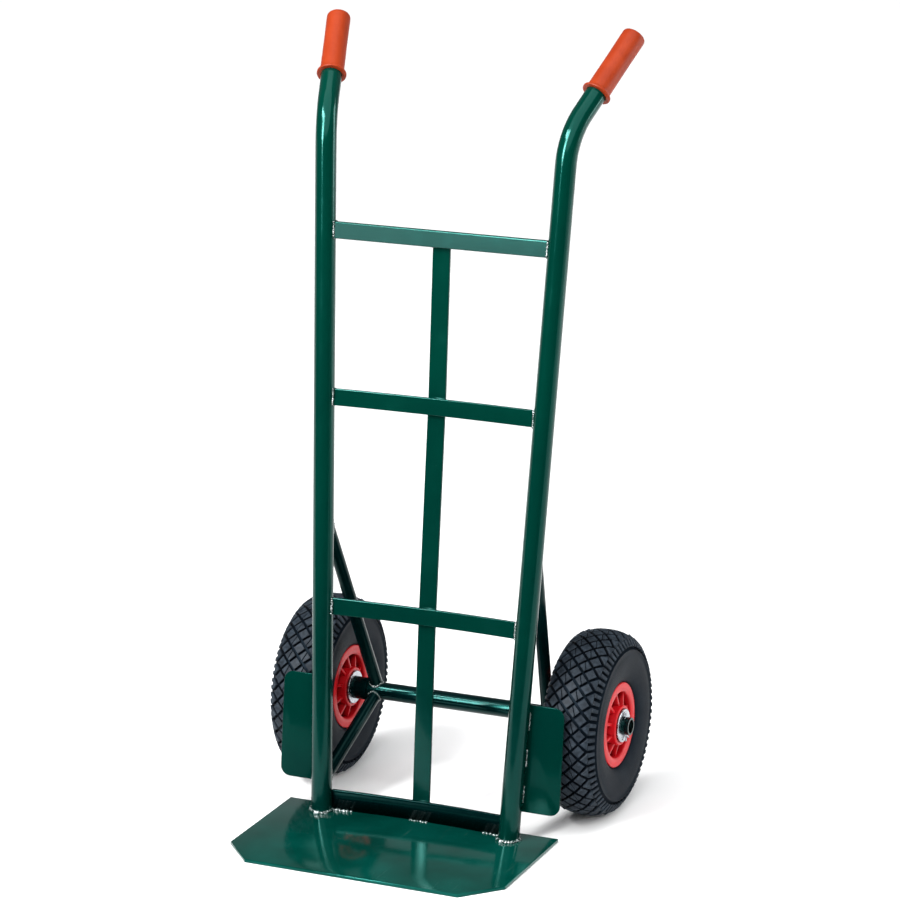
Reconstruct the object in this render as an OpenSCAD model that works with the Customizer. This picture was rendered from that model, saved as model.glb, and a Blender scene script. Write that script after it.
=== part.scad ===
// Hand truck: a welded tube frame with a toe plate, two air-filled wheels on
// ball bearings and two moulded grips. Millimetres, +Z up, +X to the right,
// the load stands on the -Y side. The origin is at the middle of the floor area.
// Everything is modelled on the right-hand side and mirrored to the left.

/* [Frame tubes] */
// Outside diameter of the upright tubes
tube_d = 29; // [26:0.5:32]
// Wall thickness of the upright tubes
tube_wall = 2; // [1.5:0.25:3]
// Distance between the upright tubes at the floor, centre to centre
foot_spacing = 282; // [260:1:300]
// Where the uprights stand, measured from the middle of the floor area
foot_y = -43; // [-48:1:-38]
// Backward lean of the frame in degrees
lean = 6.5; // [5:0.5:8]
// Outward spread of each upright in degrees
spread = 2.1; // [1:0.1:3]
// Length of the straight upright, up to the handle bend
straight_len = 928; // [800:1:1000]
// Radius of the handle bend
bend_r = 100; // [70:5:140]
// Angle of the handle bend in degrees
bend_angle = 43; // [30:1:60]
// How far the handle bend turns outward in degrees
bend_turn = 17.5; // [0:0.5:25]

/* [Grips] */
// Where each grip starts, measured from the end of the handle bend
grip_start = 35; // [20:1:45]
// Length of a grip
grip_len = 106; // [90:1:120]
// Outside diameter of a grip
grip_d = 33; // [33:0.5:38]
// Diameter of the flange at the lower end of a grip
grip_flange_d = 41; // [38:1:50]

/* [Crossbars] */
// Height of a crossbar
bar_h = 23.5; // [20:0.5:30]
// Thickness of a crossbar
bar_thick = 6; // [4:0.5:8]
// Height of the middle of the top crossbar, along the frame
top_bar_at = 815; // [780:1:850]
// Height of the middle of the upper crossbar
upper_bar_at = 586; // [520:1:640]
// Height of the middle of the lower crossbar
lower_bar_at = 295; // [240:1:340]
// How far the two middle crossbars bow backwards
bar_bow = 8.5; // [4:0.5:14]
// Height of the bottom crossbar, above the toe plate
bottom_bar_h = 29; // [24:1:34]
// How far the bottom crossbar stands behind the upright tubes' axes
bottom_bar_back = 8; // [4:0.5:9]
// Width of the centre strap
strap_w = 25.4; // [20:0.2:35]
// Thickness of the centre strap
strap_thick = 5; // [3:0.5:6]

/* [Toe plate] */
// Width of the toe plate
plate_w = 406; // [380:1:440]
// Depth of the toe plate, front to back
plate_depth = 238; // [220:1:250]
// Thickness of the toe plate
plate_t = 5; // [4:0.5:8]
// How far the plate reaches behind the upright tubes' axes
plate_behind = 29; // [26:1:34]
// Width of the cut front corners
corner_w = 47; // [30:1:60]
// Depth of the cut front corners
corner_depth = 51; // [30:1:60]

/* [Wheel guards and struts] */
// Height of a wheel guard
guard_h = 150; // [120:1:170]
// Where the lower edge of a wheel guard is, along the frame
guard_at = 44; // [40:1:60]
// Distance of a guard's outer edge from the middle of the truck
guard_reach = 210; // [200:1:216]
// Thickness of a wheel guard
guard_t = 3; // [2:0.5:4]
// Radius of a guard's outer corners
guard_corner_r = 14; // [8:1:20]
// Outside diameter of the struts
strut_d = 18; // [14:0.5:18]
// Distance of the struts from the middle of the truck, at the axle
strut_x = 130; // [126:1:131]
// Distance of the struts behind the middle of the axle
strut_back = 3; // [0:0.5:3]
// Height of the upper strut on the upright
upper_strut_at = 426; // [370:1:440]
// Height of the lower strut on the upright
lower_strut_at = 43; // [40:1:60]

/* [Axle] */
// Outside diameter of the axle, a bearing bore
axle_d = 25; // [25:1:25]
// Diameter of the axle's open bore
axle_bore_d = 19; // [15:0.5:20]
// Whole length of the axle
axle_len = 510; // [508:1:516]
// Where the axle is, behind the middle of the floor area
axle_y = 122; // [120:1:126]

/* [Wheels] */
// Outside diameter of the tyres
tyre_d = 260; // [256:1:264]
// Width of a tyre
tyre_w = 82; // [78:1:86]
// Distance of a wheel's middle plane from the middle of the truck
wheel_x = 204.7; // [203:0.1:206]
// Diameter of the rim flanges
rim_d = 119; // [116:0.5:120]
// Diameter of the seat that the tyre's beads sit on
bead_seat_d = 100; // [98:0.5:102]
// Number of ribs in each half of a rim
rib_count = 10; // [10:5:10]
// Number of bolts that hold the halves of a rim together
bolt_count = 5; // [5:1:5]

/* [Bearings] */
// Outside diameter of a wheel bearing
bearing_d = 47; // [47:1:47]
// Width of a wheel bearing
bearing_w = 12; // [12:1:12]
// Number of balls in a bearing
ball_count = 10; // [8:1:11]
// Diameter of a ball
ball_d = 6.3; // [6:0.1:6.4]

/* [Hidden] */
$fn = 96;
long_arc_fn = 1440;      // a bow of large radius needs short facets in the preview
paint = "#05483a";
grip_orange = "#e05a30";
rim_red = "#c9252f";
rubber_black = "#2b3036";
zinc = "#c9cdd0";
steel = "#a9adb2";
brass = "#b8923f";

tube_r = tube_d / 2;
axle_r = axle_d / 2;
axle_z = tyre_d / 2;
plate_back_y = foot_y + plate_behind;
bend_lap = 1;
bend_step = 0.02;

// handle and grip
grip_flange_t = 4;
grip_end_wall = 6;
tube_end = grip_start + grip_len - grip_end_wall;
grip_edge_r = 5;

// crossbars and strap
top_bar_thick = 8;
strap_gap_low = 4;       // the strap stops this far above the plate
strap_gap_top = 5;       // and this far below the top bar's upper edge
bottom_bar_bow = bar_bow;
bottom_bar_top = plate_t + bottom_bar_h;

// wheel, measured from its own middle plane outwards
hub_half = 37.5;
hub_r = 28;
pocket_r = bearing_d / 2;
hub_bore_r = 20.5;
web_t = 5;
barrel_t = 4;
seat_r = bead_seat_d / 2;
flange_r = rim_d / 2;
flange_in = 30;
flange_out = 34;
rib_t = 3.2;
bolt_circle_r = 37;
bolt_r = 3;
bolt_head_r = 5.77;
bolt_head_h = 4;
nut_h = 5;
side_gap = 0.4;          // free play between the turning hub and the fixed washers
washer_t = 2.5;
washer_out = hub_half + side_gap + washer_t;
sleeve_r = 16;
sleeve_from = 142;
sleeve_to = wheel_x - washer_out;

// bearing
bearing_mid = hub_half - bearing_w / 2;
pitch_r = (axle_r + pocket_r) / 2;
ball_r = ball_d / 2;
groove_r = ball_r + 0.05;
race_gap = 4.2;          // radial gap between the inner and the outer race
cage_t = 2.8;
cage_w = 8.6;
cage_play = 0.15;
spacer_r = 15.5;

// tyre section: half width and the radius where the tyre is widest
tyre_r = tyre_d / 2;
widest_r = 94;
tread_t = 6.5;
side_t = 6;
shoulder_power = 0.8;
bead_in = 19;            // the bead's toe, from the middle plane
bead_side_gap = 0.1;
tube_wall_t = 1.8;
tube_play = 0.4;

// split pin and valve
pin_r = 1.9;
pin_at = washer_out + 2.6;
pin_tilt = 14;
valve_at = 14;
valve_lean = 38;
valve_turn = 54;
stem_gap = 0.03;         // between the stem's foot and the inner tube

// ---------- places ----------

// The leaning plane that holds both upright tubes: x across, y back, z up along it.
module on_frame() translate([0, foot_y, 0]) rotate([-lean, 0, 0]) children();

// Along the right upright, from the floor.
module on_upright() on_frame() translate([foot_spacing / 2, 0, 0]) rotate([0, spread, 0]) children();

// At the start of the handle bend, turned so that the bend goes towards +y.
module on_bend() on_upright() translate([0, 0, straight_len]) rotate([0, 0, -bend_turn]) children();

// Along the handle, from the end of the bend.
module on_handle() on_bend()
    translate([0, bend_r * (1 - cos(bend_angle)), bend_r * sin(bend_angle)])
    rotate([-bend_angle, 0, 0]) children();

// The right wheel: z runs outwards along the axle from the wheel's middle plane.
module on_wheel() translate([wheel_x, axle_y, axle_z]) rotate([0, 90, 0]) children();

module left() mirror([1, 0, 0]) children();

// How far an upright's axis is from the middle of the truck at a height along the frame.
function upright_x(h) = foot_spacing / 2 + h * tan(spread);

// A point on the right upright's axis, in the truck's own frame.
function upright_point(h) = [upright_x(h), foot_y + h * sin(lean), h * cos(lean)];

// ---------- frame tubes ----------

// A bent rod along the upright and the handle; the bore and the tube both use it.
// The straights lap over the ends of the bend, which is a hair thinner, so they join cleanly.
module bent_rod(r, foot, tip) {
    on_upright() translate([0, 0, foot]) cylinder(r = r, h = straight_len - foot + bend_lap);
    on_bend() translate([0, bend_r, 0]) rotate([90, 0, -90])
        rotate_extrude(angle = bend_angle) translate([bend_r, 0]) circle(r = r - bend_step);
    on_handle() translate([0, 0, -bend_lap]) cylinder(r = r, h = tip + bend_lap);
}

module below_plate_top() translate([-400, -400, plate_t - 100]) cube([800, 800, 100]);

module upright() color(paint) difference() {
    bent_rod(tube_r, -10, tube_end);
    bent_rod(tube_r - tube_wall, -20, tube_end + 1);
    below_plate_top();
}

module grip() color(grip_orange) on_handle() translate([0, 0, grip_start]) difference() {
    rotate_extrude() {
        square([grip_d / 2, grip_len - grip_edge_r]);
        translate([0, grip_len - grip_edge_r - 1]) square([grip_d / 2 - grip_edge_r, grip_edge_r + 1]);
        translate([grip_d / 2 - grip_edge_r, grip_len - grip_edge_r]) circle(r = grip_edge_r);
        square([grip_flange_d / 2 - grip_flange_t / 2, grip_flange_t]);
        translate([(grip_flange_d - grip_flange_t) / 2, grip_flange_t / 2]) circle(r = grip_flange_t / 2);
    }
    translate([0, 0, -1]) cylinder(r = tube_r, h = grip_len - grip_end_wall + 1);
}

// The solid space of both upright tubes, which other pieces are coped to.
module upright_space() {
    on_upright() translate([0, 0, -20]) cylinder(r = tube_r, h = straight_len);
    left() on_upright() translate([0, 0, -20]) cylinder(r = tube_r, h = straight_len);
}

// ---------- crossbars ----------

// Plan of a flat bar that bows backwards between x = -half and x = half.
module bar_plan(half, bow, thick) {
    r = (half * half + bow * bow) / (2 * bow);
    translate([0, bow - r]) intersection() {
        difference() {
            circle(r = r + thick / 2, $fn = long_arc_fn);
            circle(r = r - thick / 2, $fn = long_arc_fn);
        }
        translate([-half, r / 2]) square([2 * half, r]);
    }
}

module bowed_bar(middle, height, bow) color(paint) difference() {
    on_frame() translate([0, 0, middle - height / 2])
        linear_extrude(height) bar_plan(upright_x(middle), bow, bar_thick);
    upright_space();
}

module crossbar_top() color(paint) difference() {
    half = upright_x(top_bar_at);
    on_frame() translate([-half, -top_bar_thick / 2, top_bar_at - bar_h / 2])
        cube([2 * half, top_bar_thick, bar_h]);
    upright_space();
}

module crossbar_upper() bowed_bar(upper_bar_at, bar_h, bar_bow);

module crossbar_lower() bowed_bar(lower_bar_at, bar_h, bar_bow);

// It stands on the toe plate, a little behind the upright tubes.
module crossbar_bottom() color(paint) difference() {
    on_frame() translate([0, bottom_bar_back, 0])
        linear_extrude(bottom_bar_top) bar_plan(upright_x(bottom_bar_top), bottom_bar_bow, bar_thick);
    upright_space();
    below_plate_top();
}

// A flat strap down the backs of the four crossbars, slightly bent at each of them.
module centre_strap() color(paint) {
    backs = [
        [top_bar_thick / 2, top_bar_at + bar_h / 2 - strap_gap_top],
        [top_bar_thick / 2, top_bar_at - bar_h / 2],
        [bar_bow + bar_thick / 2, upper_bar_at + bar_h / 2],
        [bar_bow + bar_thick / 2, lower_bar_at - bar_h / 2],
        [bottom_bar_back + bottom_bar_bow + bar_thick / 2, bottom_bar_top],
        [bottom_bar_back + bottom_bar_bow + bar_thick / 2, plate_t + strap_gap_low]
    ];
    front = [for (p = backs) p];
    rear = [for (i = [len(backs) - 1:-1:0]) backs[i] + [strap_thick, 0]];
    on_frame() rotate([90, 0, 90]) translate([0, 0, -strap_w / 2])
        linear_extrude(strap_w) polygon(concat(front, rear));
}

// ---------- toe plate and guards ----------

module toe_plate() color(paint) {
    front = plate_back_y - plate_depth;
    half = plate_w / 2;
    linear_extrude(plate_t) polygon([
        [-half, plate_back_y], [-half, front + corner_depth], [-half + corner_w, front],
        [half - corner_w, front], [half, front + corner_depth], [half, plate_back_y]
    ]);
}

module wheel_guard() color(paint) difference() {
    r = guard_corner_r;
    x0 = upright_x(guard_at);
    w = guard_reach - x0;
    on_frame() translate([x0, tube_r / 2, guard_at]) rotate([90, 0, 0])
        translate([0, 0, -guard_t]) linear_extrude(guard_t) {
            square([w - r, guard_h]);
            translate([0, r]) square([w, guard_h - 2 * r]);
            translate([w - r, r]) circle(r = r);
            translate([w - r, guard_h - r]) circle(r = r);
        }
    upright_space();
}

// ---------- axle and struts ----------

// Lays a cylinder's axis from a towards b.
module along(a, b) {
    d = b - a;
    translate(a) rotate([0, acos(d[2] / norm(d)), atan2(d[1], d[0])]) children();
}

module axle_rod(r, extra = 0) translate([-axle_len / 2 - extra, axle_y, axle_z]) rotate([0, 90, 0])
    cylinder(r = r, h = axle_len + 2 * extra);

module split_pin_line() translate([wheel_x + pin_at, axle_y, axle_z]) rotate([pin_tilt, 0, 0]) children();

module axle() color(paint) difference() {
    axle_rod(axle_r);
    axle_rod(axle_bore_d / 2, 1);
    split_pin_line() cylinder(r = pin_r + 0.1, h = 2 * axle_d, center = true);
    left() split_pin_line() cylinder(r = pin_r + 0.1, h = 2 * axle_d, center = true);
}

// A round strut from the upright at the height h to the axle, coped at both ends.
module strut(h) color(paint) {
    a = upright_point(h);
    b = [strut_x, axle_y + strut_back, axle_z];
    difference() {
        along(a, b) cylinder(r = strut_d / 2, h = norm(b - a));
        upright_space();
        axle_rod(axle_r);
    }
}

module sleeve() color(paint) translate([sleeve_from, axle_y, axle_z]) rotate([0, 90, 0]) difference() {
    cylinder(r = sleeve_r, h = sleeve_to - sleeve_from);
    translate([0, 0, -1]) cylinder(r = axle_r, h = sleeve_to);
}

// A ring between two radii and two distances from the wheel's middle plane.
module ring(r_in, r_out, from, to) translate([0, 0, from]) difference() {
    cylinder(r = r_out, h = to - from);
    translate([0, 0, -1]) cylinder(r = r_in, h = to - from + 2);
}

module washers() color(zinc) on_wheel() {
    ring(axle_r, pocket_r, hub_half + side_gap, washer_out);
    ring(axle_r, pocket_r, -washer_out, -hub_half - side_gap);
}

// A bent wire pin: an eye above the axle, a shank through it and two spread legs below.
module split_pin() color(zinc) split_pin_line() {
    eye_r = 3.2;
    shank = axle_r + 3;
    leg = 9;
    translate([0, 0, -shank]) cylinder(r = pin_r, h = 2 * shank);
    translate([0, 0, shank + eye_r]) rotate([0, 90, 0])
        rotate_extrude() translate([eye_r, 0]) circle(r = pin_r * 0.8);
    for (s = [-1, 1]) translate([0, s * 0.6, -shank + 0.6]) rotate([180 + s * 32, 0, 0])
        cylinder(r = pin_r * 0.68, h = leg);
}

// ---------- bearings, two in each hub ----------

module at_bearings() for (s = [-1, 1]) translate([0, 0, s * bearing_mid]) children();

module groove() rotate_extrude() translate([pitch_r, 0]) circle(r = groove_r);

module inner_races() color(steel) on_wheel() at_bearings() difference() {
    ring(axle_r, pitch_r - race_gap / 2, -bearing_w / 2, bearing_w / 2);
    groove();
}

module outer_races() color(steel) on_wheel() at_bearings() difference() {
    ring(pitch_r + race_gap / 2, pocket_r, -bearing_w / 2, bearing_w / 2);
    groove();
}

module at_balls() for (i = [0:ball_count - 1]) rotate([0, 0, i * 360 / ball_count])
    translate([pitch_r, 0, 0]) children();

module balls() color(steel) on_wheel() at_bearings() at_balls() sphere(r = ball_r, $fn = 48);

module ball_cages() color(brass) on_wheel() at_bearings() difference() {
    ring(pitch_r - cage_t / 2, pitch_r + cage_t / 2, -cage_w / 2, cage_w / 2);
    at_balls() rotate([0, 90, 0]) cylinder(r = ball_r + cage_play, h = 3 * cage_t, center = true);
}

module bearing_spacer() color(steel) on_wheel()
    ring(axle_r, spacer_r, -bearing_mid + bearing_w / 2, bearing_mid - bearing_w / 2);

// ---------- rim, in two halves bolted together ----------

module valve_line() rotate([0, 0, valve_turn]) translate([seat_r, 0, valve_at])
    rotate([0, -90 + valve_lean, 0]) children();

module at_bolts() for (i = [0:bolt_count - 1]) rotate([0, 0, (i + 0.25) * 360 / bolt_count])
    translate([bolt_circle_r, 0, 0]) children();

module rim_section() {
    barrel_r = seat_r - barrel_t;
    lip_r = (flange_out - flange_in) / 2;
    difference() {
        translate([hub_bore_r, 0]) square([hub_r - hub_bore_r, hub_half]);
        translate([0, hub_half - bearing_w]) square([pocket_r, hub_half]);
    }
    translate([hub_r - 1, 0]) square([barrel_r - hub_r + 2, web_t]);
    translate([barrel_r, 0]) square([barrel_t, flange_out]);
    translate([barrel_r, flange_in]) square([flange_r - lip_r - barrel_r, flange_out - flange_in]);
    translate([flange_r - lip_r, flange_in + lip_r]) circle(r = lip_r);
}

module rib() rotate([90, 0, 0]) translate([0, 0, -rib_t / 2]) linear_extrude(rib_t) polygon([
    [hub_r - 1, 1], [seat_r - 1, 1], [seat_r - 1, flange_in - 2], [hub_r - 1, hub_half - 2]
]);

module rim_half() difference() {
    union() {
        rotate_extrude() rim_section();
        for (i = [0:rib_count - 1]) rotate([0, 0, i * 360 / rib_count]) rib();
    }
    at_bolts() translate([0, 0, -1]) cylinder(r = bolt_r + 0.2, h = web_t + 2);
}

module rim_outer() color(rim_red) on_wheel() difference() {
    rim_half();
    valve_line() cylinder(r = 3.4, h = 16, center = true);
}

module rim_inner() color(rim_red) on_wheel() mirror([0, 0, 1]) rim_half();

module rim_bolts() color(zinc) on_wheel() at_bolts() {
    translate([0, 0, web_t]) cylinder(r = bolt_head_r, h = bolt_head_h, $fn = 6);
    translate([0, 0, -web_t - nut_h - 2]) cylinder(r = bolt_r, h = 2 * web_t + nut_h + 2);
}

module rim_nuts() color(zinc) on_wheel() at_bolts() translate([0, 0, -web_t - nut_h]) difference() {
    cylinder(r = bolt_head_r, h = nut_h, $fn = 6);
    translate([0, 0, -1]) cylinder(r = bolt_r, h = nut_h + 2);
}

// ---------- tyre and inner tube ----------

// The round upper part of a tyre section, from one widest point over the crown to the other.
function crown(half, top) = [for (t = [90:-10:-90])
    [widest_r + (top - widest_r) * pow(cos(t), shoulder_power),
     half * sign(t) * pow(abs(sin(t)), shoulder_power)]];

// A quarter ellipse from the widest point down to the bead.
function sidewall(half, bead_z, bead_r) = [for (u = [10:10:90])
    [widest_r - (widest_r - bead_r) * sin(u), bead_z + (half - bead_z) * cos(u)]];

// The other half of a section: the same points mirrored, or taken in the opposite order.
function mirrored(points) = [for (p = points) [p[0], -p[1]]];
function reversed(points) = [for (i = [len(points) - 1:-1:0]) points[i]];

module tyre_outside() {
    bead = flange_in - bead_side_gap;
    side = sidewall(tyre_w / 2, flange_in + 1, flange_r + 1);
    right = concat(side, [[flange_r + 1, bead], [seat_r, bead]]);
    over = crown(tyre_w / 2, tyre_r);
    polygon(concat(over, mirrored(right), reversed(right)));
}

module tyre_inside() {
    half = tyre_w / 2 - side_t;
    side = concat(sidewall(half, bead_in + 4, seat_r + 10), [[seat_r, bead_in], [seat_r - 1, bead_in]]);
    polygon(concat(crown(half, tyre_r - tread_t), mirrored(side), reversed(side)));
}

module tyre() color(rubber_black) on_wheel() rotate_extrude() difference() {
    tyre_outside();
    tyre_inside();
}

module tube_outline(play) {
    half = tyre_w / 2 - side_t - play;
    low = seat_r + play;
    side = concat(sidewall(half, bead_in + 4 - play, seat_r + 10), [[low, bead_in - play]]);
    polygon(concat(crown(half, tyre_r - tread_t - play), mirrored(side), reversed(side)));
}

module inner_tube() color(rubber_black) on_wheel() difference() {
    rotate_extrude() difference() {
        tube_outline(tube_play);
        tube_outline(tube_play + tube_wall_t);
    }
    valve_line() cylinder(r = 2, h = 16, center = true);
}

module valve_stem() color(rubber_black) on_wheel() difference() {
    valve_line() translate([0, 0, -2]) {
        cylinder(r = 3.2, h = 15);
        cylinder(r = 2.4, h = 21);
    }
    valve_line() translate([0, 0, -3]) cylinder(r = 1, h = 24);
    ring(seat_r + tube_play - stem_gap, seat_r + 10, 0, flange_in);
}

module valve_cap() color(rubber_black) on_wheel() valve_line() translate([0, 0, 14]) difference() {
    cylinder(r = 3.6, h = 8);
    translate([0, 0, -1]) cylinder(r = 2.4, h = 6);
}

left() upright();  // upright_left
upright();  // upright_right
left() grip();  // grip_left
grip();  // grip_right
crossbar_top();
crossbar_upper();
crossbar_lower();
crossbar_bottom();
centre_strap();
toe_plate();
axle();
left() strut(upper_strut_at);  // strut_upper_left
strut(upper_strut_at);  // strut_upper_right
left() strut(lower_strut_at);  // strut_lower_left
strut(lower_strut_at);  // strut_lower_right
left() wheel_guard();  // wheel_guard_left
wheel_guard();  // wheel_guard_right
left() sleeve();  // sleeve_left
sleeve();  // sleeve_right
left() washers();  // washers_left
washers();  // washers_right
left() split_pin();  // split_pin_left
split_pin();  // split_pin_right
left() inner_races();  // inner_races_left
inner_races();  // inner_races_right
left() bearing_spacer();  // bearing_spacer_left
bearing_spacer();  // bearing_spacer_right
left() outer_races();  // outer_races_left
outer_races();  // outer_races_right
left() balls();  // balls_left
balls();  // balls_right
left() ball_cages();  // ball_cages_left
ball_cages();  // ball_cages_right
left() rim_outer();  // rim_outer_left
rim_outer();  // rim_outer_right
left() rim_inner();  // rim_inner_left
rim_inner();  // rim_inner_right
left() rim_bolts();  // rim_bolts_left
rim_bolts();  // rim_bolts_right
left() rim_nuts();  // rim_nuts_left
rim_nuts();  // rim_nuts_right
left() tyre();  // tyre_left
tyre();  // tyre_right
left() inner_tube();  // inner_tube_left
inner_tube();  // inner_tube_right
left() valve_stem();  // valve_stem_left
valve_stem();  // valve_stem_right
left() valve_cap();  // valve_cap_left
valve_cap();  // valve_cap_right
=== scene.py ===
# %% [markdown]
# # A hand truck, dressed for the camera
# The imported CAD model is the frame: it says where every piece is and how it moves. In these
# cells each visible piece is modelled again with the detail that a real one has, such as
# rounded edges, weld beads and tyre blocks, and gets a finish made of shader nodes.
# Lengths are in metres, +Z is up, and the load stands on the -Y side.

# %% Load the frame
import math
import random

import bmesh
import bpy
from mathutils import Matrix, Vector


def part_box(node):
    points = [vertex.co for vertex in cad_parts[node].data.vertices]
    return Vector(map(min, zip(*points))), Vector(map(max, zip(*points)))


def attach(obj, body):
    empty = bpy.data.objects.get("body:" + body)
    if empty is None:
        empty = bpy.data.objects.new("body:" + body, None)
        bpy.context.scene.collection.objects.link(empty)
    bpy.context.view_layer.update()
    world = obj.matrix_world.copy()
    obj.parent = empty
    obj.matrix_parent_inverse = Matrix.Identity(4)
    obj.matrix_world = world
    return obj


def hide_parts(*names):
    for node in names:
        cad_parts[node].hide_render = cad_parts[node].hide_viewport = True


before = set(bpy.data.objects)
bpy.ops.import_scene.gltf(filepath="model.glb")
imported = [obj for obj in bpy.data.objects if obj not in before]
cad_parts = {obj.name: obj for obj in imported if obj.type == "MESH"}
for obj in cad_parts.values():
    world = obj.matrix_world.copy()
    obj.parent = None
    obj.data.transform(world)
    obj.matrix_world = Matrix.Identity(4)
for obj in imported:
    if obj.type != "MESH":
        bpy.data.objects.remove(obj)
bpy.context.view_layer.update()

# %% [markdown]
# ## Places that everything hangs on
# The uprights lean back and spread outward, so their pieces are easiest to model upright at
# the origin and then set in place with one matrix.

# %% Driving sizes and placing matrices
MM = 0.001
lean, spread = math.radians(6.5), math.radians(2.1)
bend_angle, bend_turn = math.radians(43), math.radians(17.5)
foot_spacing, foot_y = 282 * MM, -43 * MM
straight_len, bend_r = 928 * MM, 100 * MM
tube_r, tube_wall = 14.5 * MM, 2 * MM
grip_start, grip_len, grip_end = 35 * MM, 106 * MM, 6 * MM

plate_low, plate_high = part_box("toe_plate")
axle_low, axle_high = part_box("axle")
tyre_low, tyre_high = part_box("tyre_right")
plate_top = plate_high.z
axle_r = (axle_high.z - axle_low.z) / 2
axle = Vector((0, (axle_low.y + axle_high.y) / 2, (axle_low.z + axle_high.z) / 2))
wheel_x = (tyre_low.x + tyre_high.x) / 2
tyre_r = (tyre_high.z - tyre_low.z) / 2
tyre_w = tyre_high.x - tyre_low.x


def turn(angle, axis):
    return Matrix.Rotation(angle, 4, axis)


def shift(x=0, y=0, z=0):
    return Matrix.Translation((x, y, z))


ON_FRAME = shift(y=foot_y) @ turn(-lean, "X")
ON_UPRIGHT = ON_FRAME @ shift(x=foot_spacing / 2) @ turn(spread, "Y")
ON_BEND = ON_UPRIGHT @ shift(z=straight_len) @ turn(-bend_turn, "Z")
BEND_END = shift(y=bend_r * (1 - math.cos(bend_angle)), z=bend_r * math.sin(bend_angle))
ON_HANDLE = ON_BEND @ BEND_END @ turn(-bend_angle, "X")
ON_WHEEL = shift(wheel_x, axle.y, axle.z) @ turn(math.pi / 2, "Y")
print("axle at", axle, "wheel at", round(wheel_x, 4), "tyre radius", round(tyre_r, 4))

# %% [markdown]
# ## Camera
# A long lens far away keeps the frame's lines nearly parallel. The camera stands to the right
# of the load side and looks down a little.

# %% The camera
VIEW_AZIMUTH, VIEW_ELEVATION = math.radians(23.587), math.radians(15.335)
VIEW_DISTANCE, VIEW_LENS = 4.9795, 147.93
VIEW_TARGET = Vector((0.0355, 0, 0.5328))

toward_camera = Vector((
    math.sin(VIEW_AZIMUTH) * math.cos(VIEW_ELEVATION),
    -math.cos(VIEW_AZIMUTH) * math.cos(VIEW_ELEVATION),
    math.sin(VIEW_ELEVATION),
))
bpy.ops.object.camera_add(
    location=VIEW_TARGET + VIEW_DISTANCE * toward_camera,
    rotation=(math.pi / 2 - VIEW_ELEVATION, 0, VIEW_AZIMUTH),
)
camera = bpy.context.object
camera.data.lens = VIEW_LENS
camera.data.clip_end = 100
bpy.context.scene.camera = camera
print("camera at", camera.location)

# %% [markdown]
# ## A small language for shaders
# Node graphs are easier to read as sums. `Wire` wraps one socket, so `0.1 + 0.2 * noise` adds
# the Math nodes by itself. `Finish` is one material: `node` adds any node, and the named
# helpers below it are the few patterns that several finishes share. All patterns read Object
# coordinates, so they stay on a piece when its body moves.

# %% Wire and Finish
class Wire:
    """A shader socket that can be added, subtracted and multiplied like a number."""

    def __init__(self, finish, socket):
        self.finish, self.socket = finish, socket

    def math(self, operation, *values):
        inputs = dict(enumerate(values))
        return self.finish.node("ShaderNodeMath", {"operation": operation}, inputs)

    def __add__(self, other):
        return self.math("ADD", self, other)

    def __sub__(self, other):
        return self.math("SUBTRACT", self, other)

    def __rsub__(self, other):
        return self.math("SUBTRACT", other, self)

    def __mul__(self, other):
        return self.math("MULTIPLY", self, other)

    def __pow__(self, other):
        return self.math("POWER", self, other)

    def __abs__(self):
        return self.math("ABSOLUTE", self)

    def sine(self):
        return self.math("SINE", self)

    __radd__, __rmul__ = __add__, __mul__


class Finish:
    """One procedural material, ending in a Principled shader."""

    def __init__(self, name, **constants):
        self.material = bpy.data.materials.new(name)
        self.material.use_nodes = True
        self.tree = self.material.node_tree
        self.shader = self.tree.nodes["Principled BSDF"]
        for socket, value in constants.items():
            self.shader.inputs[socket.replace("_", " ")].default_value = value
        place = self.tree.nodes.new("ShaderNodeTexCoord")
        self.place = Wire(self, place.outputs["Object"])

    def node(self, kind, settings=None, inputs=None, out=0):
        made = self.tree.nodes.new(kind)
        for key, value in (settings or {}).items():
            setattr(made, key, value)
        for key, value in (inputs or {}).items():
            self.feed(made.inputs[key], value)
        return Wire(self, made.outputs[out])

    def feed(self, socket, value):
        if isinstance(value, Wire):
            self.tree.links.new(value.socket, socket)
        else:
            socket.default_value = value

    def noise(self, scale, detail=3.0, roughness=0.55, at=None):
        inputs = {"Vector": at or self.place, "Scale": scale,
                  "Detail": detail, "Roughness": roughness}
        return self.node("ShaderNodeTexNoise", None, inputs)

    def mapped(self, angle, scale):
        """Object coordinates turned about Z by an angle and stretched."""
        inputs = {"Vector": self.place, "Rotation": (0, 0, angle), "Scale": scale}
        return self.node("ShaderNodeMapping", None, inputs)

    def step(self, value, low, high):
        """0 below low, 1 above high, smooth between."""
        inputs = {"Value": value, "From Min": low, "From Max": high}
        return self.node("ShaderNodeMapRange", {"interpolation_type": "SMOOTHSTEP"}, inputs)

    def mix(self, factor, first, second):
        inputs = {"Factor": factor, 6: colour(first), 7: colour(second)}
        return self.node("ShaderNodeMix", {"data_type": "RGBA"}, inputs, out=2)

    def axis(self, name):
        return self.node("ShaderNodeSeparateXYZ", None, {0: self.place}, out=name)

    def from_axle(self):
        """Distance from the axle's middle line."""
        across, up = self.axis("Y") - axle.y, self.axis("Z") - axle.z
        return (across * across + up * up) ** 0.5

    def from_wheel_middle(self):
        """Distance outwards from a wheel's middle plane, negative on the side of the frame."""
        return abs(self.axis("X")) - wheel_x

    def bump(self, height, depth, strength=1.0):
        inputs = {"Height": height, "Distance": depth, "Strength": strength}
        self.feed(self.shader.inputs["Normal"], self.node("ShaderNodeBump", None, inputs))

    def set(self, **wires):
        for socket, value in wires.items():
            self.feed(self.shader.inputs[socket.replace("_", " ")], value)
        return self.material


def colour(value):
    return (*value, 1.0) if isinstance(value, tuple) and len(value) == 3 else value


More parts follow.
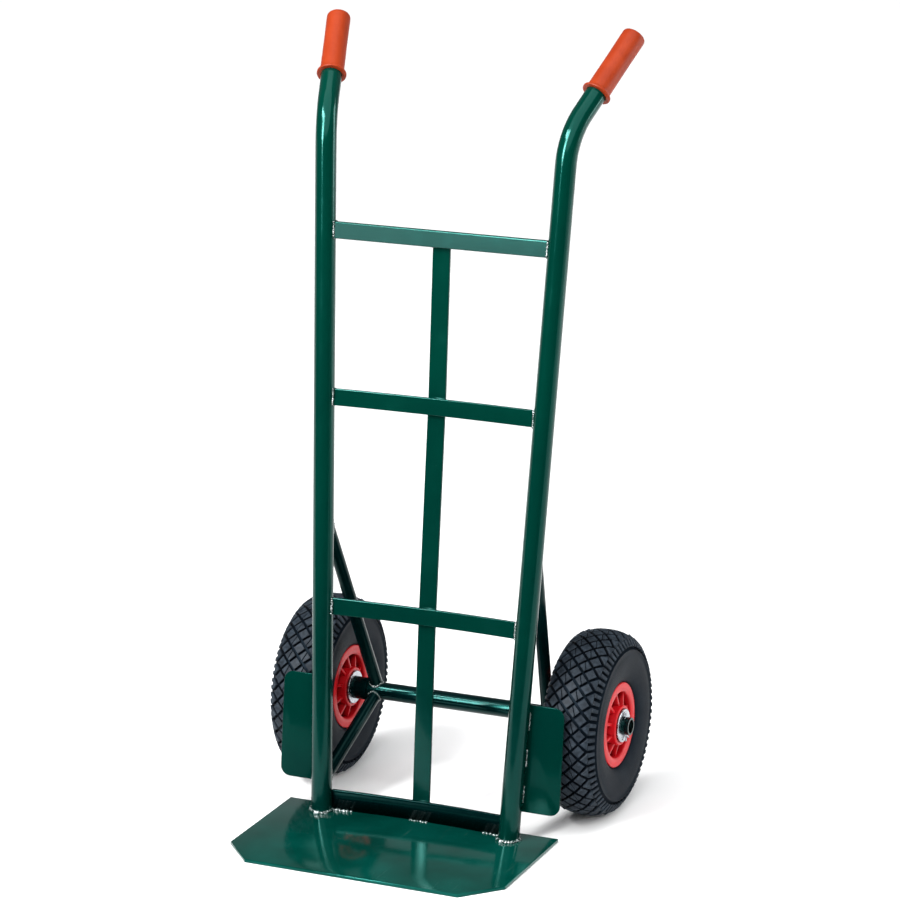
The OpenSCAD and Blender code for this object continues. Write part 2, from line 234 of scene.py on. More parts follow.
# %% [markdown]
# ## Gloss paint
# The frame is sprayed with dark green gloss. Sprayed paint is never a mirror: it has a fine
# orange-peel ripple, slightly duller patches where hands and dust have been, and a few small
# rubbed spots. The green is painted deeper towards the ground, which is painted shade, and the
# specular tint keeps what it reflects green too. The toe plate gets the same paint with long
# scuffs from loads slid over it, and the guards, struts and bottom bar a duller coat. The struts,
# sleeves, bottom bar and axle are painted a darker green, which is painted shade, and the inside
# of the axle's bore is painted near-black, which is painted shade in the hole.

# %% Green paint for the frame and the toe plate
PAINT_DEEP, PAINT_BRIGHT = (0.000, 0.0145, 0.0115), (0.000, 0.0330, 0.0215)
# The top bar's front: a paler printed panel, whose paler green also paints in sheen of light.
PANEL_AND_SHEEN_DEEP, PANEL_AND_SHEEN_BRIGHT = (0.008, 0.044, 0.037), (0.022, 0.072, 0.064)
# A darker copy of the green: painted shade for the struts, sleeves, bottom bar and axle.
PAINTED_SHADE_DEEP, PAINTED_SHADE_BRIGHT = (0.000, 0.0050, 0.0058), (0.000, 0.0095, 0.0095)
PLATE_DEEP, PLATE_BRIGHT = (0.000, 0.026, 0.0190), (0.002, 0.100, 0.0800)
# The second colour is painted shade: near-black inside the axle's bore.
PAINT_WORN, BORE_SHADE = (0.06, 0.13, 0.11), (0.001, 0.0015, 0.0015)
GREEN_SHEEN = (0.12, 0.9, 0.8, 1)
# The second part weighs painted shade: the green darker towards the ground.
CLOUD_PART, SHADE_HEIGHT_PART = 0.25, 0.75
PEEL_DEPTH, BORE_BLUR = 0.12 * MM, 0.3 * MM
LONG_WAY, LONG_STRETCH = 0.32, (290, 9, 1)
CROSS_WAY, CROSS_STRETCH = -1.02, (340, 14, 1)


def scratches_of(paint):
    """Two sets of fine slanting lines that show only in patches."""
    along = paint.noise(1.0, 3.0, 0.6, paint.mapped(LONG_WAY, LONG_STRETCH))
    across = paint.noise(1.0, 3.0, 0.6, paint.mapped(CROSS_WAY, CROSS_STRETCH))
    fine = paint.step(along, 0.63, 0.70) + paint.step(across, 0.66, 0.72)
    return fine * paint.step(paint.noise(9, 2.0), 0.46, 0.62)


def gloss_paint(name, deep=PAINT_DEEP, bright=PAINT_BRIGHT, shine=(0.24, 0.09),
                scuffs=False, bore=None):
    """Gloss paint: shine is its specular level and coat, bore the radius of a hole whose inside is painted
    near-black, which is painted shade.
    """
    paint = Finish(name, Specular_IOR_Level=shine[0], Coat_Weight=shine[1], Coat_Roughness=0.06)
    paint.shader.inputs["Specular Tint"].default_value = GREEN_SHEEN
    cloud = paint.noise(9)
    peel = paint.noise(420, 2.0)
    wave = paint.noise(38, 2.0)
    duller = paint.step(paint.noise(23, 5.0), 0.45, 0.75)
    spots = paint.step(paint.noise(260, 4.0, 0.7), 0.735, 0.76)
    # Painted shade: the green is mixed darker towards the ground, over the lowest metre.
    height = paint.step(paint.axis("Z"), 0.0, 1.0)
    base = paint.mix(CLOUD_PART * paint.step(cloud, 0.3, 0.7) + SHADE_HEIGHT_PART * height, deep, bright)
    if bore:
        # Painted shade inside the bore: near-black within its radius.
        outside = paint.step(paint.from_axle(), bore - BORE_BLUR, bore + BORE_BLUR)
        base = paint.mix(outside, BORE_SHADE, base)
    worn = spots * 0.5
    roughness = 0.13 + 0.10 * duller + 0.25 * worn
    if scuffs:
        roughness = 0.06 + 0.06 * duller + 0.20 * worn
        scratches = scratches_of(paint)
        worn = worn + 0.34 * scratches
        roughness = roughness + 0.16 * scratches
    paint.bump(peel * 0.5 + wave * (0.5 if scuffs else 1.5) - worn * 0.6, PEEL_DEPTH)
    return paint.set(Base_Color=paint.mix(worn, base, PAINT_WORN), Roughness=roughness)


frame_paint = gloss_paint("frame_gloss")
# Printed panel and painted sheen in one paler green, for the top bar's front.
panel_and_sheen_paint = gloss_paint("panel_and_sheen_gloss", PANEL_AND_SHEEN_DEEP, PANEL_AND_SHEEN_BRIGHT)
guard_paint = gloss_paint("guard_gloss", shine=(0.09, 0.02))
# The darker copy of the paint is painted shade, for parts that sit in shade.
painted_shade_paint = gloss_paint("painted_shade_gloss", PAINTED_SHADE_DEEP, PAINTED_SHADE_BRIGHT, shine=(0.09, 0.03))
plate_paint = gloss_paint("plate_gloss", PLATE_DEEP, PLATE_BRIGHT, shine=(0.34, 0.03), scuffs=True)
# The axle: the darker green as painted shade, and near-black painted shade inside its bore.
axle_shaded_paint = gloss_paint("axle_gloss", PAINTED_SHADE_DEEP, PAINTED_SHADE_BRIGHT, bore=10 * MM)
print("paints", [m.name for m in bpy.data.materials if m.name.endswith("_gloss")])

# %% [markdown]
# ## Weld paint
# The same paint lies lumpy over the weld beads. In patches it is mixed towards a pale grey, where
# primer and metal show through; the same pale patches also stand in for glints, as painted
# highlights. The wet-looking lumps catch the light.

# %% Paint over the welds
# The pale colour is worn-thin paint and painted glints in one.
LUMP_DEEP, LUMP_BRIGHT, PRIMER_AND_GLINT = (0.0, 0.012, 0.009), (0.01, 0.040, 0.032), (0.42, 0.47, 0.48)


def weld_paint_finish():
    paint = Finish("weld_paint", Coat_Weight=1.0, Coat_Roughness=0.04)
    grain = paint.noise(900, 3.0)
    lumps = paint.noise(340, 2.0)
    base = paint.mix(paint.step(lumps, 0.35, 0.6), LUMP_DEEP, LUMP_BRIGHT)
    # Pale patches: paint worn thin, and painted highlights that stand in for glints on the beads.
    thin_and_glint = paint.step(paint.noise(260, 3.0, 0.7), 0.53, 0.60)
    base = paint.mix(thin_and_glint * 0.75, base, PRIMER_AND_GLINT)
    paint.bump(grain * 0.4 + lumps, 0.6 * MM)
    return paint.set(Base_Color=base, Roughness=0.10 + 0.16 * grain)


weld_paint = weld_paint_finish()
print("paint over the welds:", weld_paint.name)

# %% [markdown]
# ## Moulded plastics
# The grips are soft orange PVC with a faint grain and a little grime. The rims are harder red
# plastic with flow marks and some dust near the hub. Down in the pockets between the ribs, where
# little light gets in, a darker red is painted as painted shade.

# %% Orange grips and red rims
GRIP_DEEP, GRIP_BRIGHT, GRIP_GRIME = (0.265, 0.0265, 0.0045), (0.31, 0.034, 0.0065), (0.30, 0.06, 0.03)
RIM_DEEP, RIM_BRIGHT, RIM_DUST = (0.44, 0.0030, 0.007), (0.53, 0.0045, 0.010), (0.20, 0.03, 0.03)
# The first colour is painted shade, a darker red for the pockets; the lengths bound its fade.
POCKET_SHADE_RED, POCKET_DEEP, POCKET_TOP = (0.10, 0.001, 0.002), 16 * MM, 29 * MM
DUSTY_R, CLEAN_R = 30 * MM, 50 * MM


def grip_finish():
    skin = Finish("grip_pvc", Specular_IOR_Level=0.15)
    grain = skin.noise(1500, 2.0)
    cloud = skin.noise(40, 3.0)
    grime = skin.step(skin.noise(90, 5.0, 0.7), 0.62, 0.80)
    base = skin.mix(skin.step(cloud, 0.3, 0.7), GRIP_DEEP, GRIP_BRIGHT)
    base = skin.mix(grime * 0.25, base, GRIP_GRIME)
    skin.bump(grain + cloud * 0.5, 0.05 * MM)
    return skin.set(Base_Color=base, Roughness=0.36 + 0.12 * cloud)


def rim_finish():
    shell = Finish("rim_plastic", Specular_IOR_Level=0.20, Coat_Weight=0.04, Coat_Roughness=0.15)
    flow = shell.noise(60, 4.0)
    grain = shell.noise(1100, 2.0)
    outer = shell.step(shell.from_axle(), DUSTY_R, CLEAN_R)
    dust = shell.step(shell.noise(180, 5.0, 0.7), 0.55, 0.8) * (1.0 - outer)
    base = shell.mix(shell.step(flow, 0.3, 0.7), RIM_DEEP, RIM_BRIGHT)
    base = shell.mix(dust * 0.35, base, RIM_DUST)
    out = shell.from_wheel_middle()
    # Painted shade: darker red near the wheel's middle plane, down in the pockets.
    base = shell.mix(shell.step(out * out, POCKET_DEEP ** 2, POCKET_TOP ** 2), POCKET_SHADE_RED, base)
    shell.bump(grain * 0.5 + flow, 0.08 * MM)
    return shell.set(Base_Color=base, Roughness=0.30 + 0.14 * flow)


grip_pvc, rim_plastic = grip_finish(), rim_finish()
print("plastics", grip_pvc.name, rim_plastic.name)

# %% [markdown]
# ## Rubber
# A tyre shows three rubbers. The tops of its tread blocks are a lighter blue-grey, in patches, and
# the sides of the blocks stay black, so the finish works out how far a spot is below the crown.
# The sidewalls are darker and keep the fine rings of the mould. The inner tube is plain.

# %% Tyre rubbers
WIDEST_R, SHOULDER_POWER = 94 * MM, 0.8
WORN_LOW, WORN_HIGH = -1.5 * MM, -0.4 * MM
# The second colour is the lighter blue-grey of the block tops.
RUBBER_BLACK, RUBBER_TOP_GREY = (0.0012, 0.0028, 0.0055), (0.026, 0.037, 0.050)
WALL_BLACK, WALL_BLOOM = (0.0020, 0.0040, 0.0070), (0.0050, 0.0080, 0.0120)
WALL_SHEEN, RING_FREQUENCY = (0.5, 0.75, 1.0, 1), 5200.0
BLOOM_END, BLOOM_GONE = 104 * MM, 110 * MM


def tread_finish():
    top = Finish("tread_top", Specular_IOR_Level=0.12)
    out = top.from_wheel_middle()
    reach = (out * out) ** (0.5 / SHOULDER_POWER) * (tyre_w / 2) ** (-1 / SHOULDER_POWER)
    crown_here = WIDEST_R + (tyre_r - WIDEST_R) * (1.0 - reach * reach) ** (SHOULDER_POWER / 2)
    on_top = top.step(top.from_axle() - crown_here, WORN_LOW, WORN_HIGH)
    # The block tops are mixed lighter blue-grey, in patches.
    dust = on_top * (0.35 + 0.65 * top.step(top.noise(130, 5.0, 0.65), 0.35, 0.75))
    grain = top.noise(1400, 3.0)
    top.bump(grain, 0.18 * MM)
    return top.set(Base_Color=top.mix(dust, RUBBER_BLACK, RUBBER_TOP_GREY), Roughness=0.50 + 0.18 * grain)


def sidewall_finish():
    wall = Finish("sidewall_rubber", Specular_IOR_Level=0.06)
    wall.shader.inputs["Specular Tint"].default_value = WALL_SHEEN
    rings = (wall.from_axle() * RING_FREQUENCY).sine()
    grain = wall.noise(800, 4.0)
    low = 1.0 - wall.step(wall.from_axle(), BLOOM_END, BLOOM_GONE)
    bloom = wall.step(wall.noise(28, 4.0), 0.4, 0.75) * low
    wall.bump(rings * 0.25 + grain, 0.10 * MM)
    return wall.set(Base_Color=wall.mix(bloom, WALL_BLACK, WALL_BLOOM), Roughness=0.44 + 0.16 * grain)


def inner_rubber_finish():
    skin = Finish("inner_rubber", Specular_IOR_Level=0.35)
    grain = skin.noise(500, 4.0)
    skin.bump(grain, 0.1 * MM)
    base = skin.mix(grain, (0.010, 0.010, 0.011), (0.030, 0.030, 0.032))
    return skin.set(Base_Color=base, Roughness=0.45 + 0.2 * grain)


tread_top, sidewall_rubber, inner_rubber = tread_finish(), sidewall_finish(), inner_rubber_finish()
print("rubbers", tread_top.name, sidewall_rubber.name, inner_rubber.name)

# %% [markdown]
# ## Metals
# Washers and pins are zinc plated: bright, a little cloudy, with fine marks of the tool that
# turned them. The bearing pieces are ground steel, and the ball cages are brass.

# %% Zinc, bearing steel and brass
STAIN, STAIN_DARKNESS = 0.4, 0.45


def metal_finish(name, dark, bright, low, high, ring_pitch):
    """A metal between two colours and two roughnesses, with turning marks at a pitch."""
    metal = Finish(name, Metallic=1.0)
    cloud = metal.noise(140, 4.0, 0.6)
    turned = (metal.from_axle() * (math.tau / ring_pitch)).sine()
    fine = metal.noise(1300, 2.0)
    stain = metal.step(metal.noise(320, 5.0, 0.7), 0.62, 0.80)
    base = metal.mix(metal.step(cloud, 0.3, 0.7), dark, bright)
    base = metal.mix(stain * STAIN, base, tuple(STAIN_DARKNESS * c for c in dark))
    metal.bump(turned * 0.35 + fine * 0.5, 0.04 * MM)
    return metal.set(Base_Color=base, Roughness=low + (high - low) * cloud + 0.15 * stain)


zinc = metal_finish("zinc_plate", (0.30, 0.32, 0.35), (0.50, 0.52, 0.55), 0.18, 0.34, 0.5 * MM)
bearing_steel = metal_finish(
    "bearing_steel", (0.46, 0.47, 0.48), (0.62, 0.63, 0.64), 0.12, 0.24, 0.3 * MM)
cage_brass = metal_finish(
    "cage_brass", (0.45, 0.30, 0.11), (0.66, 0.46, 0.18), 0.24, 0.40, 0.4 * MM)
print("materials so far", len(bpy.data.materials))

# %% [markdown]
# ## Hand tools for modelling
# These wrap the operators that every piece needs: select one object, add a plane or a cube at
# its size, extrude, pick parts of a mesh by a rule, and apply a modifier.

# %% Selecting and shaping
def only(*objects):
    bpy.ops.object.select_all(action="DESELECT")
    for obj in objects:
        obj.select_set(True)
    bpy.context.view_layer.objects.active = objects[-1]


def edit():
    bpy.ops.object.mode_set(mode="EDIT")
    bpy.ops.mesh.select_mode(type="VERT")


def everything():
    bpy.ops.mesh.select_all(action="SELECT")


def start(primitive, size, place=(0, 0, 0), rotation=(0, 0, 0)):
    """Adds a plane or a cube of this size and opens it in edit mode, selected all over."""
    bpy.ops.object.select_all(action="DESELECT")
    primitive(size=1, location=place, rotation=rotation)
    bpy.context.object.scale = size
    bpy.ops.object.transform_apply(location=True, rotation=True, scale=True)
    edit()
    everything()


def extrude(x, y, z):
    bpy.ops.mesh.extrude_region_move(TRANSFORM_OT_translate={"value": (x, y, z)})


def face_outwards():
    everything()
    bpy.ops.mesh.normals_make_consistent(inside=False)


def cut_at_plate(fill):
    """In edit mode: cuts away what is below the toe plate's upper face."""
    everything()
    bpy.ops.mesh.bisect(plane_co=(0, 0, plate_top), plane_no=(0, 0, 1), clear_inner=True, use_fill=fill)


def leave(name=None):
    """Goes back to object mode, and names the object if a name is given."""
    bpy.ops.object.mode_set(mode="OBJECT")
    obj = bpy.context.object
    if name:
        obj.name = obj.data.name = name
    return obj


def pick(kind, rule):
    """In edit mode, selects the vertices, edges or faces that the rule accepts."""
    mesh = bpy.context.edit_object.data
    bpy.ops.mesh.select_all(action="DESELECT")
    bpy.ops.mesh.select_mode(type=kind)
    bm = bmesh.from_edit_mesh(mesh)
    parts = {"VERT": bm.verts, "EDGE": bm.edges, "FACE": bm.faces}[kind]
    for part in [p for p in parts if rule(p)]:
        part.select_set(True)
    bm.select_flush_mode()
    bmesh.update_edit_mesh(mesh)


def apply(obj, kind, **settings):
    only(obj)
    modifier = obj.modifiers.new(kind.title(), kind)
    for key, value in settings.items():
        setattr(modifier, key, value)
    bpy.ops.object.modifier_apply(modifier=modifier.name)
    return obj


# %% [markdown]
# ## Finishing a piece
# A finished piece is set in place with a matrix, cleaned, mirrored to the left, and given its
# material. `check` compares its box with that of the CAD node that it stands for.

# %% Placing, mirroring and checking
def settle(obj, matrix=Matrix.Identity(4)):
    """Moves an object by a matrix and applies its place, so that it sits at the origin."""
    obj.matrix_world = matrix @ obj.matrix_world
    bpy.context.view_layer.update()
    only(obj)
    bpy.ops.object.transform_apply(location=True, rotation=True, scale=True)
    return obj


def clean(obj, gap=0.02 * MM):
    """Merges doubles, drops stray edges and turns the faces outwards."""
    only(obj)
    edit()
    everything()
    bpy.ops.mesh.remove_doubles(threshold=gap)
    bpy.ops.mesh.delete_loose()
    face_outwards()
    return leave()


def smooth(obj, degrees=35):
    only(obj)
    bpy.ops.object.shade_smooth_by_angle(angle=math.radians(degrees))
    return obj


def mirrored(obj, name):
    """A copy on the other side of the truck's middle plane."""
    only(obj)
    bpy.ops.object.duplicate(linked=False)
    edit()
    everything()
    bpy.ops.transform.resize(value=(-1, 1, 1), center_override=(0, 0, 0))
    bpy.ops.mesh.flip_normals()
    return leave(name)


def joined(objects, name):
    only(*objects)
    bpy.ops.object.join()
    obj = bpy.context.object
    obj.name = obj.data.name = name
    return obj


def dress(obj, material):
    obj.data.materials.clear()
    obj.data.materials.append(material)
    return obj


def check(obj, node):
    """Prints how far the piece's box is from the CAD node's, its open edges and its volume."""
    low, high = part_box(node)
    points = [v.co for v in obj.data.vertices]
    off = max(max(abs(min(p[i] for p in points) - low[i]), abs(max(p[i] for p in points) - high[i]))
              for i in range(3))
    bm = bmesh.new()
    bm.from_mesh(obj.data)
    loose = sum(not e.is_manifold for e in bm.edges)
    volume = bm.calc_volume(signed=True)
    bm.free()
    print(f"{obj.name}: {off / MM:.2f} mm off {node}, {loose} open edges, {volume * 1e6:.1f} cm3")


def stand_for(obj, node, body="frame"):
    check(obj, node)
    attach(obj, body)
    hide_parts(node)


def both_stand_for(piece, node, body="frame"):
    """Mirrors a right-hand piece; the two replace node_right and node_left."""
    other = mirrored(piece, piece.name.replace("_right", "_left"))
    for made, side in ((piece, "_right"), (other, "_left")):
        stand_for(made, node + side, body if body == "frame" else body + side)


# %% [markdown]
# ## Turning a profile
# Rims, grips, washers and tyres are all turned shapes. As on a lathe, the profile is drawn
# first, one point extruded from the last, and then spun about the axis. `lathe` starts from a
# plane whose corners are merged into the first point. `rounded` breaks a profile's corners.

# %% The lathe
def lathe(name, profile, matrix, steps=96):
    """Spins a closed profile of (radius, height) points about Z and sets it in place."""
    radius, height = profile[0]
    bpy.ops.object.select_all(action="DESELECT")
    bpy.ops.mesh.primitive_plane_add(size=1 * MM, location=(radius, 0, height))
    edit()
    bpy.ops.mesh.merge(type="CENTER")
    for point in profile[1:] + profile[:1]:
        extrude(point[0] - radius, 0, point[1] - height)
        radius, height = point
    everything()
    bpy.ops.mesh.spin(steps=steps, angle=math.tau, center=(0, 0, 0), axis=(0, 0, 1))
    return clean(settle(leave(name), matrix))


def rounded(corners, segments=3):
    """A profile from (radius, height, rounding) corners; a rounding of 0 stays sharp."""
    points = [Vector(corner[:2]) for corner in corners]
    profile = []
    for i, here in enumerate(points):
        rounding = corners[i][2]
        if rounding == 0:
            profile.append(tuple(here))
            continue
        to_last, to_next = points[i - 1] - here, points[(i + 1) % len(points)] - here
        cut = min(rounding, 0.45 * to_last.length, 0.45 * to_next.length)
        first, last = here + cut * to_last.normalized(), here + cut * to_next.normalized()
        for k in range(segments + 1):
            t = k / segments
            profile.append(tuple((1 - t) ** 2 * first + 2 * t * (1 - t) * here + t * t * last))
    return profile


# %% [markdown]
# ## Upright tubes
# Each upright is one tube bent on a former. A circle is extruded up to the bend, spun through
# the bend about the former's centre, and extruded along the handle; Solidify gives the wall.
# The foot is cut flat on the toe plate with a bisect.

# %% Upright tubes
SPARE_FOOT = 20 * MM


def upright_tube():
    handle = grip_start + grip_len - grip_end
    bottom = (0, 0, -straight_len - SPARE_FOOT)
    bpy.ops.object.select_all(action="DESELECT")
    bpy.ops.mesh.primitive_circle_add(vertices=64, radius=tube_r, location=bottom)
    edit()
    extrude(0, 0, straight_len + SPARE_FOOT)
    bpy.ops.mesh.spin(steps=28, angle=bend_angle, center=(0, bend_r, 0), axis=(1, 0, 0))
    extrude(0, handle * math.sin(bend_angle), handle * math.cos(bend_angle))
    tube = settle(leave("upright_tube_right"), ON_BEND)
    edit()
    cut_at_plate(fill=False)
    leave()
    clean(tube)
    return smooth(apply(tube, "SOLIDIFY", thickness=tube_wall, offset=-1, use_even_offset=True))


both_stand_for(dress(upright_tube(), frame_paint), "upright")

# %% [markdown]
# ## Crossbars
# A crossbar is flat steel rolled to a slight bow so that a drum or sack lies in it. Its section
# is a plane with bevelled corners, spun about the far centre of the bow. The top bar is
# straight, and the front of it is a paler green panel, the colour of its printed label; that paler
# green also paints in the milky sheen of light on the face, a painted sheen. Their ends run just
# into the tubes' walls, where the weld beads hide them. Weighted normals keep the flat faces flat
# to the light.

# %% Crossbars
BAR_H, BAR_T, BAR_BOW, BAR_BITE = 23.5 * MM, 6 * MM, 8.5 * MM, 2.5 * MM
BAR_MIDDLES = {"crossbar_top": 815 * MM, "crossbar_upper": 586 * MM, "crossbar_lower": 295 * MM}
TOP_T, FOOT_BAR_TOP, FOOT_BAR_BACK = 8 * MM, 34 * MM, 8 * MM
BAR_CORNER, TOP_CORNER, PANEL_AND_SHEEN_FACING = 1.2 * MM, 2.2 * MM, -0.97


def upright_x(height):
    return foot_spacing / 2 + height * math.tan(spread)


def flat_section(x, y, low, high, thick, corner):
    """In edit mode: a rounded rectangle across the bar, standing in the YZ plane at x."""
    start(bpy.ops.mesh.primitive_plane_add, (high - low, thick, 1), (x, y, (low + high) / 2),
          (0, math.pi / 2, 0))
    bpy.ops.mesh.bevel(offset=corner, segments=3, affect="VERTICES")


def crossbar(name, low, high, thick, bow, back=0.0, corner=BAR_CORNER):
    """A bar between two heights, bowed back in its middle and set back at its ends."""
    half = upright_x((low + high) / 2)
    reach = half - tube_r + BAR_BITE
    if bow:
        radius = (half * half + bow * bow) / (2 * bow)
        centre_y = back + bow - radius
        swing = math.asin(reach / radius)
        start_y = centre_y + radius * math.cos(swing)
        flat_section(-reach, start_y, low, high, thick, corner)
        bpy.ops.transform.rotate(value=-swing, orient_axis="Z", center_override=(-reach, start_y, 0))
        bpy.ops.mesh.spin(steps=24, angle=2 * swing, center=(0, centre_y, 0), axis=(0, 0, 1))
    else:
        flat_section(-reach, back, low, high, thick, corner)
        extrude(2 * reach, 0, 0)
    return smooth(clean(settle(leave(name), ON_FRAME)))


bars = {}
for node, middle in BAR_MIDDLES.items():
    size = (TOP_T, 0, 0, TOP_CORNER) if node == "crossbar_top" else (BAR_T, BAR_BOW)
    bars[node] = crossbar("flat_" + node, middle - BAR_H / 2, middle + BAR_H / 2, *size)
bottom_bar = crossbar("flat_crossbar_bottom", 0, FOOT_BAR_TOP, BAR_T, BAR_BOW, FOOT_BAR_BACK)
bars["crossbar_bottom"] = bottom_bar
only(bottom_bar)
edit()
cut_at_plate(fill=True)
leave()
for node, bar in bars.items():
    apply(bar, "WEIGHTED_NORMAL", keep_sharp=True)
    # The bottom bar gets the darker paint: painted shade.
    paint = painted_shade_paint if node == "crossbar_bottom" else frame_paint
    stand_for(dress(bar, paint), node)

top_bar = bars["crossbar_top"]
# Faces that look forwards get the paler panel paint: a printed panel, and painted sheen.
top_bar.data.materials.append(panel_and_sheen_paint)
for face in top_bar.data.polygons:
    face.material_index = int(face.normal.y < PANEL_AND_SHEEN_FACING)

# %% [markdown]
# ## Centre strap
# The strap is one length of flat bar that follows the backs of the four crossbars, so it bends
# a degree or two at each. Its section is extruded from bar to bar.

# %% Centre strap
STRAP_W, STRAP_T, STRAP_CORNER = 25.4 * MM, 5 * MM, 1.2 * MM
STRAP_CLEAR, STRAP_DROP = 4 * MM, 5 * MM


def strap_stations():
    """Where the strap bends, from its foot up: (distance back, height)."""
    foot_back = FOOT_BAR_BACK + BAR_BOW + BAR_T / 2
    bow_back = BAR_BOW + BAR_T / 2
    top, upper, lower = BAR_MIDDLES.values()
    return [(foot_back, plate_top + STRAP_CLEAR), (foot_back, FOOT_BAR_TOP),
            (bow_back, lower - BAR_H / 2), (bow_back, upper + BAR_H / 2),
            (TOP_T / 2, top - BAR_H / 2), (TOP_T / 2, top + BAR_H / 2 - STRAP_DROP)]


def centre_strap():
    stations = [(y + STRAP_T / 2, z) for y, z in strap_stations()]
    y, z = stations[0]
    start(bpy.ops.mesh.primitive_plane_add, (STRAP_W, STRAP_T, 1), (0, y, z))
    bpy.ops.mesh.bevel(offset=STRAP_CORNER, segments=3, affect="VERTICES")
    for next_y, next_z in stations[1:]:
        extrude(0, next_y - y, next_z - z)
        y, z = next_y, next_z
    return smooth(clean(settle(leave("strap"), ON_FRAME)))


stand_for(dress(centre_strap(), frame_paint), "centre_strap")

# %% [markdown]
# ## Toe plate and wheel guards
# Both are sheet steel: a flat outline first, its corners cut or rounded by bevelling vertices,
# then extruded to the sheet's thickness with the edges broken by a small bevel. The toe plate's
# front corners are cut a little deeper than wide, so the bevelled points are moved back.

# %% Sheet pieces
CUT_WIDTH, CUT_DEPTH, PLATE_EDGE = 47 * MM, 51 * MM, 1.2 * MM
GUARD_LOW, GUARD_H, GUARD_REACH, GUARD_T = 44 * MM, 150 * MM, 210 * MM, 3 * MM
GUARD_INSET, GUARD_CORNER, GUARD_EDGE = 8 * MM, 14 * MM, 0.7 * MM
NEAR = 0.1 * MM


def sheet(name, thick, edge):
    """In edit mode, with a flat outline selected: extrudes it and rounds its edges."""
    extrude(0, 0, thick)
    face_outwards()
    return smooth(apply(leave(name), "BEVEL", width=edge, segments=3, limit_method="ANGLE",
                        angle_limit=math.radians(50)))


def toe_plate():
    size, middle = plate_high - plate_low, (plate_low + plate_high) / 2
    start(bpy.ops.mesh.primitive_plane_add, (size.x, size.y, 1), (middle.x, middle.y, plate_low.z))
    front = [(plate_low.x, plate_low.y), (plate_high.x, plate_low.y)]
    pick("VERT", lambda v: any((v.co.xy - Vector(c)).length < NEAR for c in front))
    bpy.ops.mesh.bevel(offset=CUT_WIDTH, segments=1, affect="VERTICES")
    pick("VERT", lambda v: abs(v.co.y - plate_low.y - CUT_WIDTH) < NEAR)
    bpy.ops.transform.translate(value=(0, CUT_DEPTH - CUT_WIDTH, 0))
    everything()
    return sheet("toe_sheet", size.z, PLATE_EDGE)


def wheel_guard():
    inner = upright_x(GUARD_LOW) + GUARD_INSET
    width = GUARD_REACH - inner
    start(bpy.ops.mesh.primitive_plane_add, (width, GUARD_H, 1))
    pick("VERT", lambda v: v.co.x > 0)
    bpy.ops.mesh.bevel(offset=GUARD_CORNER, segments=8, affect="VERTICES")
    everything()
    guard = sheet("guard_right", GUARD_T, GUARD_EDGE)
    stand = shift(inner + width / 2, tube_r / 2 + GUARD_T, GUARD_LOW + GUARD_H / 2)
    return settle(guard, ON_FRAME @ stand @ turn(math.pi / 2, "X"))


stand_for(dress(toe_plate(), plate_paint), "toe_plate")
both_stand_for(dress(wheel_guard(), guard_paint), "wheel_guard")

# %% [markdown]
# ## Grips
# A grip is a turned cup with a flange at its mouth and a rounded blind end. The profile goes up
# the outside, over the end, and back down the bore to where the tube stops.

# %% Grips
def grip():
    body_r, flange_r, bore_r = 16.5 * MM, 20.5 * MM, tube_r + 0.02 * MM
    middle_r, bore_end = 0.4 * MM, grip_len - grip_end
    profile = rounded([
        (bore_r, 0, 0.6 * MM), (flange_r, 0, 1.6 * MM), (flange_r, 3.4 * MM, 1.4 * MM),
        (body_r + 0.6 * MM, 4.2 * MM, 1.5 * MM), (body_r, 7 * MM, 1 * MM),
        (body_r - 0.25 * MM, grip_len * 0.6, 20 * MM), (body_r, grip_len - 9 * MM, 1 * MM),
        (body_r - 0.1 * MM, grip_len, 6 * MM), (middle_r, grip_len, 0), (middle_r, bore_end, 0),
        (bore_r, bore_end, 0.8 * MM),
    ], 5)
    return smooth(lathe("grip_cup_right", profile, ON_HANDLE @ shift(z=grip_start), 72), 40)


both_stand_for(dress(grip(), grip_pvc), "grip")

# %% [markdown]
# ## Rims
# Each rim half is turned, then ten ribs are set round the hub. One rib is modelled as a cube
# whose far end is tapered and whose edges are bevelled, and the others are turned copies.

# %% Rim halves
HUB_HALF, HUB_R, POCKET_R, SHOULDER_R = 37.5 * MM, 28 * MM, 23.5 * MM, 20.5 * MM
SEAT_R, BARREL_R, FLANGE_R = 50 * MM, 46 * MM, 59.5 * MM
WEB_T, FLANGE_IN, FLANGE_OUT, BEARING_W = 5 * MM, 30 * MM, 34 * MM, 12 * MM
RIB_COUNT, RIB_T, RIB_Z, RIB_H = 10, 4.2 * MM, 15 * MM, 26 * MM
RIB_RISE, RIB_EDGE, RIB_SHORT = 5 * MM, 0.8 * MM, 3 * MM


def rim_profile():
    return rounded([
        (SHOULDER_R, 0, 0), (SHOULDER_R, HUB_HALF - BEARING_W, 0.5 * MM),
        (POCKET_R, HUB_HALF - BEARING_W, 0.5 * MM), (POCKET_R, HUB_HALF, 1 * MM),
        (HUB_R, HUB_HALF, 1.6 * MM), (HUB_R + 1 * MM, WEB_T, 2 * MM),
        (BARREL_R - 1 * MM, WEB_T, 2 * MM), (BARREL_R, FLANGE_OUT - 1.5 * MM, 2.2 * MM),
        (BARREL_R + 5 * MM, FLANGE_OUT, 3 * MM), (FLANGE_R, FLANGE_OUT - 0.6 * MM, 2.2 * MM),
        (FLANGE_R, FLANGE_IN, 1.6 * MM), (SEAT_R, FLANGE_IN, 1.5 * MM), (SEAT_R, 0, 0.5 * MM),
    ], 4)


